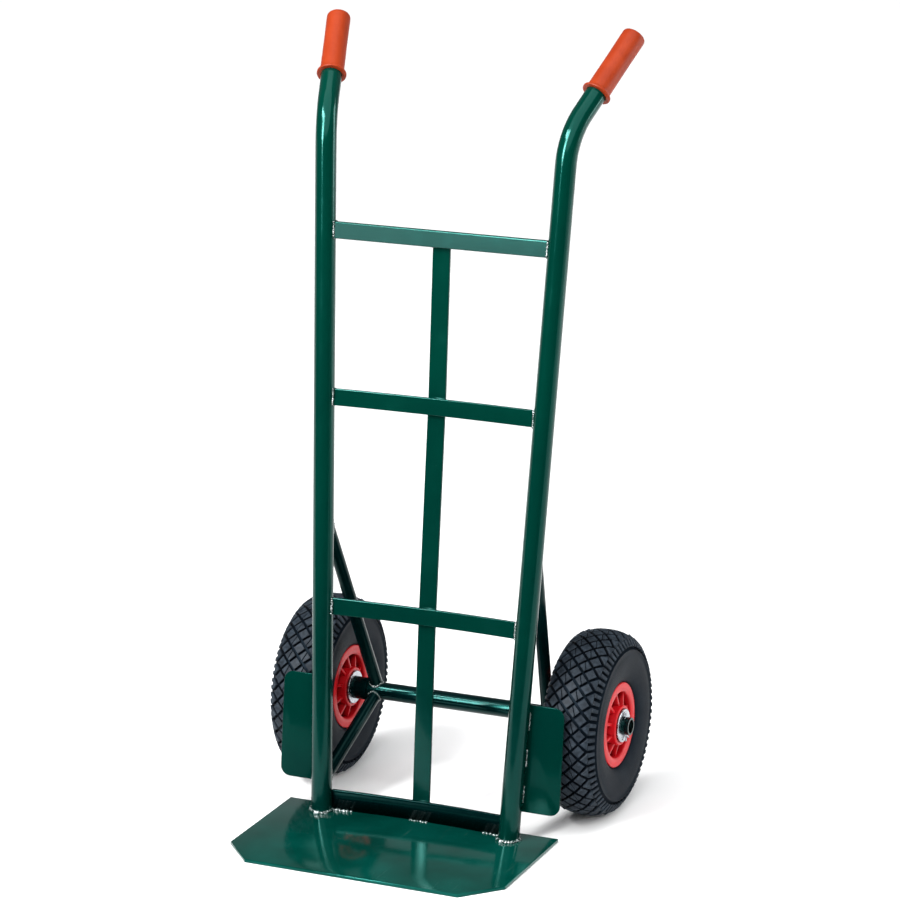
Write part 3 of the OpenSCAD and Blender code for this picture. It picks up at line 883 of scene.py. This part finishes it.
def rib(angle):
    """One rib, raised where it meets the hub."""
    foot = HUB_R - 1 * MM
    length = SEAT_R - RIB_SHORT - foot
    start(bpy.ops.mesh.primitive_cube_add, (length, RIB_T, RIB_H), (foot + length / 2, 0, RIB_Z))
    pick("VERT", lambda v: v.co.z > RIB_Z and v.co.x < foot + length / 2)
    bpy.ops.transform.translate(value=(0, 0, RIB_RISE))
    return settle(apply(leave("rib"), "BEVEL", width=RIB_EDGE, segments=2), turn(angle, "Z"))


def rim_half(name, matrix):
    shell = lathe(name + "_shell", rim_profile(), Matrix.Identity(4), 120)
    ribs = [rib(math.tau * i / RIB_COUNT) for i in range(RIB_COUNT)]
    half = settle(joined(ribs + [shell], name), matrix)
    return dress(smooth(half, 40), rim_plastic)


outer_half = rim_half("rim_outer_shell_right", ON_WHEEL)
inner_half = rim_half("rim_inner_shell_right", ON_WHEEL @ turn(math.pi, "X"))
both_stand_for(outer_half, "rim_outer", "wheel")
both_stand_for(inner_half, "rim_inner", "wheel")

# %% [markdown]
# ## Tyre carcass
# The carcass is turned from its section: the floor of the grooves, the shoulders, a thin ring
# where the tread ends, smooth sidewalls and the beads. The section follows the same rounded
# curve as the CAD tyre, sunk by the groove's depth under the blocks.

# %% Tyre carcass
GROOVE, RING_R = 5.2 * MM, 105 * MM
CROWN_STEPS, CROWN_STEP, SINK = 9, 4.1 * MM, 0.985
WALL_ANGLES = (0, 15, 30, 45, 58, 70, 80, 90)


def crown(x):
    """Radius of the tyre's outer surface at a distance x from its middle plane."""
    s = min(1.0, (abs(x) / (tyre_w / 2)) ** (1 / SHOULDER_POWER))
    return WIDEST_R + (tyre_r - WIDEST_R) * math.sqrt(1 - s * s) ** SHOULDER_POWER


def crown_x(radius):
    """The same surface the other way round: distance from the middle plane at a radius."""
    c = ((radius - WIDEST_R) / (tyre_r - WIDEST_R)) ** (1 / SHOULDER_POWER)
    return tyre_w / 2 * math.sqrt(1 - c * c) ** SHOULDER_POWER


def carcass_half():
    """One half of the section from the crown to the bead: (radius, distance from the middle)."""
    steps = [i * CROWN_STEP for i in range(CROWN_STEPS)]
    floor_line = [(crown(x) - GROOVE, x * SINK) for x in steps]
    ring_x = crown_x(RING_R)
    ring = [(RING_R + up * MM, ring_x + out * MM) for up, out in
            ((3.0, -3.4), (1.3, -1.2), (0.9, 0.4), (0, 0.6), (-0.9, 0.3), (-1.6, -0.3))]
    low_r, low_x = FLANGE_R + 1 * MM, FLANGE_IN + 1 * MM
    high_r, high_x = WIDEST_R + 4 * MM, tyre_w / 2 - 0.4 * MM
    wall = [(high_r - (high_r - low_r) * math.sin(a), low_x + (high_x - low_x) * math.cos(a))
            for a in map(math.radians, WALL_ANGLES)]
    bead = [(low_r, FLANGE_IN - 0.2 * MM), (SEAT_R + 0.1 * MM, FLANGE_IN - 0.2 * MM),
            (SEAT_R + 0.1 * MM, 19 * MM), (SEAT_R + 8 * MM, 23 * MM)]
    inside = [(78 * MM, 31 * MM), (94 * MM, 34.5 * MM), (110 * MM, 31 * MM),
              (118 * MM, 22 * MM), (121 * MM, 12 * MM), (122 * MM, 0)]
    return floor_line + ring + wall + bead + inside


def carcass():
    half = carcass_half()
    other = [(r, -x) for r, x in reversed(half[1:-1])]
    return smooth(lathe("carcass", half + other, Matrix.Identity(4), 144), 50)


tyre_body = dress(carcass(), sidewall_rubber)
print("carcass faces", len(tyre_body.data.polygons))

# %% [markdown]
# ## Tread blocks
# The tread repeats 36 times round the tyre. One repeat is modelled flat, as on a mould's
# drawing: x across the tread, y along it, z up. It has three whole diamonds, two that a slit
# cuts in half, a half diamond and two lugs on each shoulder. The shoulder blocks stand a little
# proud. `roll` then wraps that strip over the crown with a formula, and copies are spun round.

# %% One repeat of the tread
REPEATS, DIAMOND_X, DIAMOND_HALF = 36, 11.25 * MM, 8.7 * MM
PITCH = math.tau * tyre_r / REPEATS
SLOPE = PITCH / (2 * DIAMOND_X)
BLOCK_DEPTH, PROUD, BLOCK_EDGE, FLARE = GROOVE + 1.2 * MM, 1.8 * MM, 0.55 * MM, 1.04
SLIT, SLIT_SLANT = 0.45 * MM, 0.28
LUG_IN, LUG_OUT, LUG_HALF, LUG_TAPER = 35.6 * MM, 46.5 * MM, 3.2 * MM, 0.9
CUT_PAST = 1.2 * MM


def block(corners, top=0.0):
    """A block with a flat top outline, flaring a little to its root, with broken edges."""
    middle = sum((Vector(c) for c in corners), Vector((0, 0))) / len(corners)
    bpy.ops.object.select_all(action="DESELECT")
    bpy.ops.mesh.primitive_circle_add(vertices=len(corners), radius=10 * MM, fill_type="NGON")
    edit()
    mesh = bpy.context.edit_object.data
    for vert, corner in zip(bmesh.from_edit_mesh(mesh).verts, corners):
        vert.co = (*corner, top)
    bmesh.update_edit_mesh(mesh)
    everything()
    extrude(0, 0, -BLOCK_DEPTH - top)
    bpy.ops.transform.resize(value=(FLARE, FLARE, 1), center_override=(*middle, top))
    face_outwards()
    pick("EDGE", lambda e: all(v.co.z > top - 0.01 * MM for v in e.verts))
    bpy.ops.mesh.bevel(offset=BLOCK_EDGE, segments=1)
    return leave("block")


def diamond(x, y):
    h = DIAMOND_HALF
    return [(x + h, y), (x, y + h * SLOPE), (x - h, y), (x, y - h * SLOPE)]


def slit_diamond(x, y):
    """The two halves of a diamond that is cut by a thin slanting slit."""
    right, back, left, front = [Vector(c) for c in diamond(x, y)]
    high, low = back.lerp(right, SLIT_SLANT), front.lerp(left, SLIT_SLANT)
    side = Vector((SLIT, 0))
    halves = [right, high + side, low + side, front], [left, low - side, high - side, back]
    return [[tuple(corner) for corner in half] for half in halves]


def lug(side, y):
    """A shoulder lug: a tapered bar that runs from the last diamonds to the ring."""
    tip = LUG_HALF * LUG_TAPER
    corners = [(LUG_IN, y - LUG_HALF), (LUG_OUT, y - tip), (LUG_OUT, y + tip), (LUG_IN, y + LUG_HALF)]
    return [(side * x, yy) for x, yy in corners]


def half_diamond(side, y):
    x, wide = 3 * DIAMOND_X, (DIAMOND_HALF + CUT_PAST * 0.3) * SLOPE
    corners = [(x - DIAMOND_HALF, y), (x + CUT_PAST, y - wide), (x + CUT_PAST, y + wide)]
    return [(side * xx, yy) for xx, yy in corners]


def tread_repeat():
    crown_blocks, shoulder_blocks = [diamond(0, 0)], []
    for side in (-1, 1):
        crown_blocks += [diamond(side * 2 * DIAMOND_X, 0), *slit_diamond(side * DIAMOND_X, PITCH / 2)]
        shoulder_blocks += [half_diamond(side, PITCH / 2)]
        shoulder_blocks += [lug(side, PITCH * 0.25), lug(side, PITCH * 0.75)]
    blocks = [block(o) for o in crown_blocks] + [block(o, PROUD) for o in shoulder_blocks]
    return joined(blocks, "tread")


tread = tread_repeat()
print("one repeat has", len(tread.data.polygons), "faces")

# %% [markdown]
# ## Rolling the tread on
# On the crown a point keeps its distance across, measured along the curve. `on_crown` looks
# along a table of the curve to find where that is, and the block's height goes along the
# surface's normal.

# %% Roll and spin
def crown_table(count=120):
    """Points down the crown: (distance along the curve, (x, radius))."""
    table, along_curve, last = [], 0.0, Vector((0, tyre_r))
    for i in range(count + 1):
        angle = math.pi / 2 * i / count
        x = tyre_w / 2 * math.sin(angle) ** SHOULDER_POWER
        rise = max(0.0, math.cos(angle)) ** SHOULDER_POWER
        here = Vector((x, WIDEST_R + (tyre_r - WIDEST_R) * rise))
        along_curve += (here - last).length
        table.append((along_curve, here))
        last = here
    return table


CROWN = crown_table()


def on_crown(distance, height):
    """(x, radius) of a point at a distance across the tread and a height above its surface."""
    for (s0, p0), (s1, p1) in zip(CROWN, CROWN[1:]):
        if s1 >= distance:
            break
    spot = p0.lerp(p1, (distance - s0) / max(s1 - s0, 1e-9))
    tangent = (p1 - p0).normalized()
    return spot + height * Vector((-tangent.y, tangent.x))


def roll(obj):
    for vert in obj.data.vertices:
        side = -1 if vert.co.x < 0 else 1
        x, radius = on_crown(abs(vert.co.x), vert.co.z)
        angle = vert.co.y / tyre_r
        vert.co = (radius * math.cos(angle), radius * math.sin(angle), side * x)


def tyre():
    roll(tread)
    only(tread)
    edit()
    face_outwards()
    bpy.ops.mesh.spin(steps=REPEATS, angle=math.tau, center=(0, 0, 0), axis=(0, 0, 1), dupli=True)
    leave()
    smooth(dress(tread, tread_top), 25)
    whole = settle(joined([tread, tyre_body], "block_tyre_right"), ON_WHEEL)
    return whole


tyre_right = tyre()
print("tyre materials", [m.name for m in tyre_right.data.materials], len(tyre_right.data.polygons))
both_stand_for(tyre_right, "tyre", "wheel")

# %% [markdown]
# ## Washers
# The hub's washers are stamped, so one edge is soft. Both are turned round the axle.

# %% Washers
SIDE_GAP, WASHER_T, WASHER_PLAY = 0.4 * MM, 2.5 * MM, 0.05 * MM
WASHER_IN = HUB_HALF + SIDE_GAP
WASHER_OUT = WASHER_IN + WASHER_T


def washer(name, low):
    hole = axle_r + WASHER_PLAY
    profile = rounded([(hole, low, 0.3 * MM), (POCKET_R, low, 0.6 * MM),
                       (POCKET_R, low + WASHER_T, 1.0 * MM), (hole, low + WASHER_T, 0.7 * MM)])
    return lathe(name, profile, ON_WHEEL, 80)


washers = joined([washer("washer_out", WASHER_IN), washer("washer_in", -WASHER_OUT)], "washer_pair_right")
both_stand_for(smooth(dress(washers, zinc)), "washers")

# %% [markdown]
# ## Split pins
# A split pin is half-round wire folded on itself: a path with an eye at the top and two spread
# legs, given a round section and made a mesh. It goes through the axle's cross hole.

# %% Split pins
PIN_R, PIN_GAP, PIN_TILT = 1.9 * MM, 2.6 * MM, math.radians(14)
PIN_X = wheel_x + WASHER_OUT + PIN_GAP
EYE_R, EYE_WIRE, LEG_WIRE = 3.2 * MM, PIN_R * 0.62, PIN_R * 0.55
LEG_APART, LEG_BEND, LEG_TIP, LEG_LEN = 0.8 * MM, 2.4 * MM, 5.4 * MM, 8 * MM


def wire(name, points, radius):
    """A round wire through points, made from a path curve."""
    bpy.ops.object.select_all(action="DESELECT")
    bpy.ops.curve.primitive_nurbs_path_add()
    curve = bpy.context.object.data
    curve.splines.clear()
    spline = curve.splines.new("NURBS")
    spline.points.add(len(points) - 1)
    for target, point in zip(spline.points, points):
        target.co = (*point, 1)
    spline.use_endpoint_u, spline.order_u, spline.resolution_u = True, 3, 6
    curve.bevel_depth, curve.bevel_resolution, curve.use_fill_caps = radius, 3, True
    bpy.ops.object.convert(target="MESH")
    made = bpy.context.object
    made.name = made.data.name = name
    return made


def split_pin():
    top = axle_r + 3 * MM
    ring = [(0, EYE_R * math.sin(a), top + EYE_R - EYE_R * math.cos(a))
            for a in map(math.radians, range(0, 361, 30))]
    parts = [wire("eye", ring, EYE_WIRE)]
    for side in (-1, 1):
        straight = [(0, side * LEG_APART, z) for z in (top, 0, -top)]
        spread_out = [(0, side * LEG_BEND, -top - LEG_LEN * 0.35), (0, side * LEG_TIP, -top - LEG_LEN * 0.8)]
        parts.append(wire("leg", straight + spread_out, LEG_WIRE))
    pin = clean(joined(parts, "pin_wire_right"))
    return smooth(settle(pin, shift(PIN_X, axle.y, axle.z) @ turn(PIN_TILT, "X")), 60)


both_stand_for(dress(split_pin(), zinc), "split_pin")

# %% [markdown]
# ## Weld beads
# A hand-made weld is a row of overlapping puddles. Flattened balls are set along the joint a
# little over half a width apart, each a bit different, and a voxel remesh melts them together.

# %% The welding torch
torch = random.Random(7)
FOOT_BEAD, FOOT_BAR_BEAD, BAR_BEAD = 3.4 * MM, 3.2 * MM, 2.1 * MM
STRAP_BEAD, GUARD_BEAD, STRUT_BEAD = 1.9 * MM, 1.8 * MM, 1.9 * MM
PUDDLE_SIZES, PUDDLE_DRIFT, VOXEL = (0.85, 1.12), 0.12, 0.22
welds = []


def bead(name, points, radius, spacing=0.62):
    """A weld bead along a line of points, riding on the frame."""
    rows = [Vector(p) for p in points]
    length = sum((b - a).length for a, b in zip(rows, rows[1:]))
    count = max(3, round(length / (radius * spacing * 2)))
    bpy.ops.object.select_all(action="DESELECT")
    balls = []
    for i in range(count + 1):
        left = length * i / count
        for a, b in zip(rows, rows[1:]):
            step = (b - a).length
            if left <= step + 1e-9:
                break
            left -= step
        spot = a.lerp(b, min(1.0, left / max(step, 1e-9)))
        size = radius * torch.uniform(*PUDDLE_SIZES)
        drift = Vector([torch.uniform(-PUDDLE_DRIFT, PUDDLE_DRIFT) * radius for _ in range(3)])
        bpy.ops.mesh.primitive_ico_sphere_add(subdivisions=2, radius=size, location=spot + drift)
        balls.append(bpy.context.object)
    made = settle(joined(balls, name))
    apply(made, "REMESH", mode="VOXEL", voxel_size=radius * VOXEL)
    apply(made, "SMOOTH", factor=0.5, iterations=2)
    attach(smooth(dress(made, weld_paint), 80), "frame")
    welds.append(made)


def frame_point(x, y, z):
    return ON_FRAME @ Vector((x, y, z))


def weld_both(name, points, radius, spacing=0.62):
    """A bead on the right and its own, slightly different one on the left."""
    for side, label in ((1, "right"), (-1, "left")):
        line = [Vector((side * p[0], p[1], p[2])) for p in points]
        bead(f"weld_{name}_{label}", line, radius, spacing)


print("beads from", STRAP_BEAD / MM, "to", FOOT_BEAD / MM, "mm in radius")

# %% [markdown]
# ## Where the frame is welded
# Rings go round the feet of the uprights, short rows go down the ends of the crossbars, and
# three beads hold the bottom bar to the toe plate. Each line is worked out from the pieces that
# meet there.

# %% Welds at the feet and the crossbars
SKIN = 0.4 * MM
FOOT_RISE, ROW_INSET = 0.6 * MM, 1 * MM


def foot_ring(count=36):
    middle = ON_UPRIGHT @ Vector((0, 0, plate_top / math.cos(lean)))
    reach = tube_r + FOOT_RISE
    turns = (math.tau * i / count for i in range(count + 1))
    return [Vector((middle.x + reach * math.cos(a), middle.y + reach * math.sin(a),
                    plate_top + FOOT_RISE)) for a in turns]


weld_both("foot", foot_ring(), FOOT_BEAD)

for node, middle in BAR_MIDDLES.items():
    thick = TOP_T if node == "crossbar_top" else BAR_T
    for face, word in ((-1, "front"), (1, "back")):
        y = face * thick / 2
        x = upright_x(middle) - math.sqrt(tube_r ** 2 - y * y) - SKIN
        ends = [frame_point(x, y, middle - BAR_H / 2 + ROW_INSET),
                frame_point(x, y, middle + BAR_H / 2 - ROW_INSET)]
        weld_both(node.removeprefix("crossbar_") + "_" + word, ends, BAR_BEAD)


def foot_bar_y(x, face):
    half = upright_x(FOOT_BAR_TOP / 2)
    return FOOT_BAR_BACK + BAR_BOW * (1 - (x / half) ** 2) + face * BAR_T / 2


def foot_bar_line(first, last):
    """A line on the toe plate along the front of the bottom bar, between two x."""
    xs = [first + (last - first) * i / 6 for i in range(7)]
    return [frame_point(x, foot_bar_y(x, -1), plate_top / math.cos(lean)) for x in xs]


weld_both("foot_bar_end", foot_bar_line(100 * MM, 127 * MM), FOOT_BAR_BEAD, 0.8)
bead("weld_foot_bar_middle", foot_bar_line(-13 * MM, 12 * MM), FOOT_BAR_BEAD)
print("beads so far", len(welds))

# %% [markdown]
# ## Stitches
# The strap and the guards carry less, so they are only held by short stitches: the strap at
# each crossbar on both of its edges, the guards at three heights on both of their faces.

# %% Stitches on the strap and the guards
STITCHES = {"foot": 1, "lower": 2, "upper": 3, "top": 5}
STRAP_STITCH, STITCH_BELOW, STRAP_SKIN = 16 * MM, 2 * MM, 0.6 * MM
GUARD_STITCH, GUARD_STITCHES, GUARD_SKIN = 22 * MM, (58 * MM, 108 * MM, 160 * MM), 0.3 * MM

stations = strap_stations()
for word, station in STITCHES.items():
    y, z = stations[station]
    high = z - STITCH_BELOW + (BAR_H if word == "lower" else 0)
    edge = [frame_point(STRAP_W / 2, y + STRAP_SKIN, z) for z in (high - STRAP_STITCH, high)]
    weld_both("strap_" + word, edge, STRAP_BEAD)

for i, low in enumerate(GUARD_STITCHES):
    for y, word in ((tube_r / 2 - GUARD_SKIN, "front"), (tube_r / 2 + GUARD_T + GUARD_SKIN, "back")):
        x = upright_x(low) + math.sqrt(tube_r ** 2 - y * y) + SKIN
        line = [frame_point(x, y, low),
                frame_point(x + GUARD_STITCH * math.tan(spread), y, low + GUARD_STITCH)]
        weld_both(f"guard_{word}_{i}", line, GUARD_BEAD)
print("beads so far", len(welds))

# %% [markdown]
# ## Struts
# A bead goes round both ends of each strut, and follows the round surface that the strut meets.
# `collar` walks out along the strut at each angle until it leaves that surface, which gives the
# curved line for the bead.

# %% Strut welds
STRUT_R, STRUT_X, STRUT_BACK = 9 * MM, 130 * MM, 3 * MM
STRUT_HEIGHTS = {"upper": 426 * MM, "lower": 43 * MM}
WALK, WALK_LIMIT, COLLAR_SKIN = 0.25 * MM, 400, 0.3 * MM


def collar(from_point, to_point, line_point, line_direction, surface_r, count=20):
    """The closed line where a strut comes out of a round piece that goes along line_direction."""
    direction = (to_point - from_point).normalized()
    side = direction.orthogonal().normalized()
    up = direction.cross(side)
    line_direction = line_direction.normalized()
    points = []
    for i in range(count + 1):
        a = math.tau * i / count
        spot = from_point + STRUT_R * (math.cos(a) * side + math.sin(a) * up)
        for _ in range(WALK_LIMIT):
            gap = spot - line_point
            if (gap - gap.dot(line_direction) * line_direction).length >= surface_r + COLLAR_SKIN:
                break
            spot = spot + WALK * direction
        points.append(spot)
    return points


along_upright = (ON_UPRIGHT @ Vector((0, 0, 1))) - (ON_UPRIGHT @ Vector((0, 0, 0)))
along_axle = Vector((1, 0, 0))
bottom = Vector((STRUT_X, axle.y + STRUT_BACK, axle.z))
for word, height in STRUT_HEIGHTS.items():
    top = frame_point(upright_x(height), 0, height)
    weld_both(f"strut_{word}_tube", collar(top, bottom, top, along_upright, tube_r), STRUT_BEAD)
    weld_both(f"strut_{word}_axle", collar(bottom, top, axle, along_axle, axle_r), STRUT_BEAD)
print("beads in all", len(welds))

# %% [markdown]
# ## Finishes for the CAD nodes that stay
# The axle, struts, sleeves, bearings, bolts, valves and inner tubes already have their real
# shape, so they only get a finish. The axle keeps its exact cross holes for the split pins.

# %% Finish the kept nodes
# The struts, sleeves and axle get the darker paints, which carry painted shade.
KEPT = {
    "axle": axle_shaded_paint, "strut_": painted_shade_paint, "sleeve_": painted_shade_paint, "inner_races_": bearing_steel,
    "outer_races_": bearing_steel, "balls_": bearing_steel, "bearing_spacer_": bearing_steel,
    "ball_cages_": cage_brass, "rim_bolts_": zinc, "rim_nuts_": zinc, "inner_tube_": inner_rubber,
    "valve_stem_": inner_rubber, "valve_cap_": inner_rubber,
}
kept = []
for name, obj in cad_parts.items():
    for beginning, material in KEPT.items():
        if name.startswith(beginning):
            obj.data.materials.clear()
            obj.data.materials.append(material)
            kept.append(name)
print("kept nodes", len(kept))

# %% [markdown]
# ## Studio
# A pale sweep of paper runs back from just in front of the truck, so that paint facing
# forwards has little to reflect and stays deep. A wide soft sun lights the floor evenly. Narrow
# strips draw the bright lines on the bends and the axle, and a large box on the right fills the
# wheels. The sheen box is only seen in reflections: its diffuse light would grey the paint.

# %% Floor and lights
FLOOR_FRONT, FLOOR_SIZE = -0.75, 70
PAPER_DARK, PAPER_PALE = (0.93, 0.93, 0.93), (0.96, 0.96, 0.96)


def floor_finish():
    paper = Finish("paper_floor", Specular_IOR_Level=0.1)
    cloud = paper.noise(3.0, 3.0)
    paper.bump(paper.noise(300, 2.0), 0.1 * MM)
    return paper.set(Base_Color=paper.mix(cloud, PAPER_DARK, PAPER_PALE), Roughness=0.8 + 0.1 * cloud)


bpy.ops.object.select_all(action="DESELECT")
bpy.ops.mesh.primitive_plane_add(size=FLOOR_SIZE, location=(0, FLOOR_FRONT + FLOOR_SIZE / 2, 0))
floor = bpy.context.object
floor.name = "floor"
floor.data.materials.append(floor_finish())


def light(kind, name, place, aim, energy):
    bpy.ops.object.light_add(type=kind, location=place)
    made = bpy.context.object
    made.name = name
    made.data.energy = energy
    made.rotation_euler = (Vector(aim) - Vector(place)).to_track_quat("-Z", "Y").to_euler()
    return made


def softbox(name, place, aim, width, height, energy):
    made = light("AREA", name, place, aim, energy)
    made.data.shape = "RECTANGLE"
    made.data.size, made.data.size_y = width, height
    return made


sun = light("SUN", "soft_sun", (1.2, -3.6, 6.0), (0, 0, 0), 3.6)
sun.data.angle = math.radians(80)
softbox("bend_box", (-0.95, -2.9, 1.8), (0, 0, 1.0), 0.40, 1.5, 90)
softbox("bend_sheen", (-1.0, -3.0, 2.7), (0, 0, 1.0), 1.2, 2.4, 320).visible_diffuse = False
softbox("axle_box", (-1.35, -1.70, 2.8), (0, 0.12, 0.13), 1.0, 0.45, 75)
softbox("box_right", (3.4, 2.2, 1.5), (0.2, 0.1, 0.3), 1.2, 2.4, 85)

# %% [markdown]
# ## World
# The world lights the truck from behind more than from the front, which keeps the front of the
# paint deep. The camera itself sees it at full strength, so the backdrop is pale all round.

# %% World
WORLD_FRONT, WORLD_BACK = 0.04, 0.25
FADE_START, FADE_END = -0.3, 0.7

world = bpy.data.worlds.new("studio")
bpy.context.scene.world = world
world.use_nodes = True
sky = world.node_tree
background = sky.nodes["Background"]
background.inputs["Color"].default_value = (0.93, 0.96, 1.0, 1)
toward = sky.nodes.new("ShaderNodeTexCoord")
parts = sky.nodes.new("ShaderNodeSeparateXYZ")
fade = sky.nodes.new("ShaderNodeMapRange")
seen = sky.nodes.new("ShaderNodeLightPath")
brighter = sky.nodes.new("ShaderNodeMath")
brighter.operation = "MAXIMUM"
for socket, value in (("From Min", FADE_START), ("From Max", FADE_END),
                      ("To Min", WORLD_FRONT), ("To Max", WORLD_BACK)):
    fade.inputs[socket].default_value = value
for output, socket in ((toward.outputs["Generated"], parts.inputs[0]),
                       (parts.outputs["Y"], fade.inputs["Value"]),
                       (fade.outputs["Result"], brighter.inputs[0]),
                       (seen.outputs["Is Camera Ray"], brighter.inputs[1]),
                       (brighter.outputs[0], background.inputs["Strength"])):
    sky.links.new(output, socket)
bpy.context.scene.view_settings.view_transform = "Standard"
print("world from", WORLD_FRONT, "in front to", WORLD_BACK, "behind")
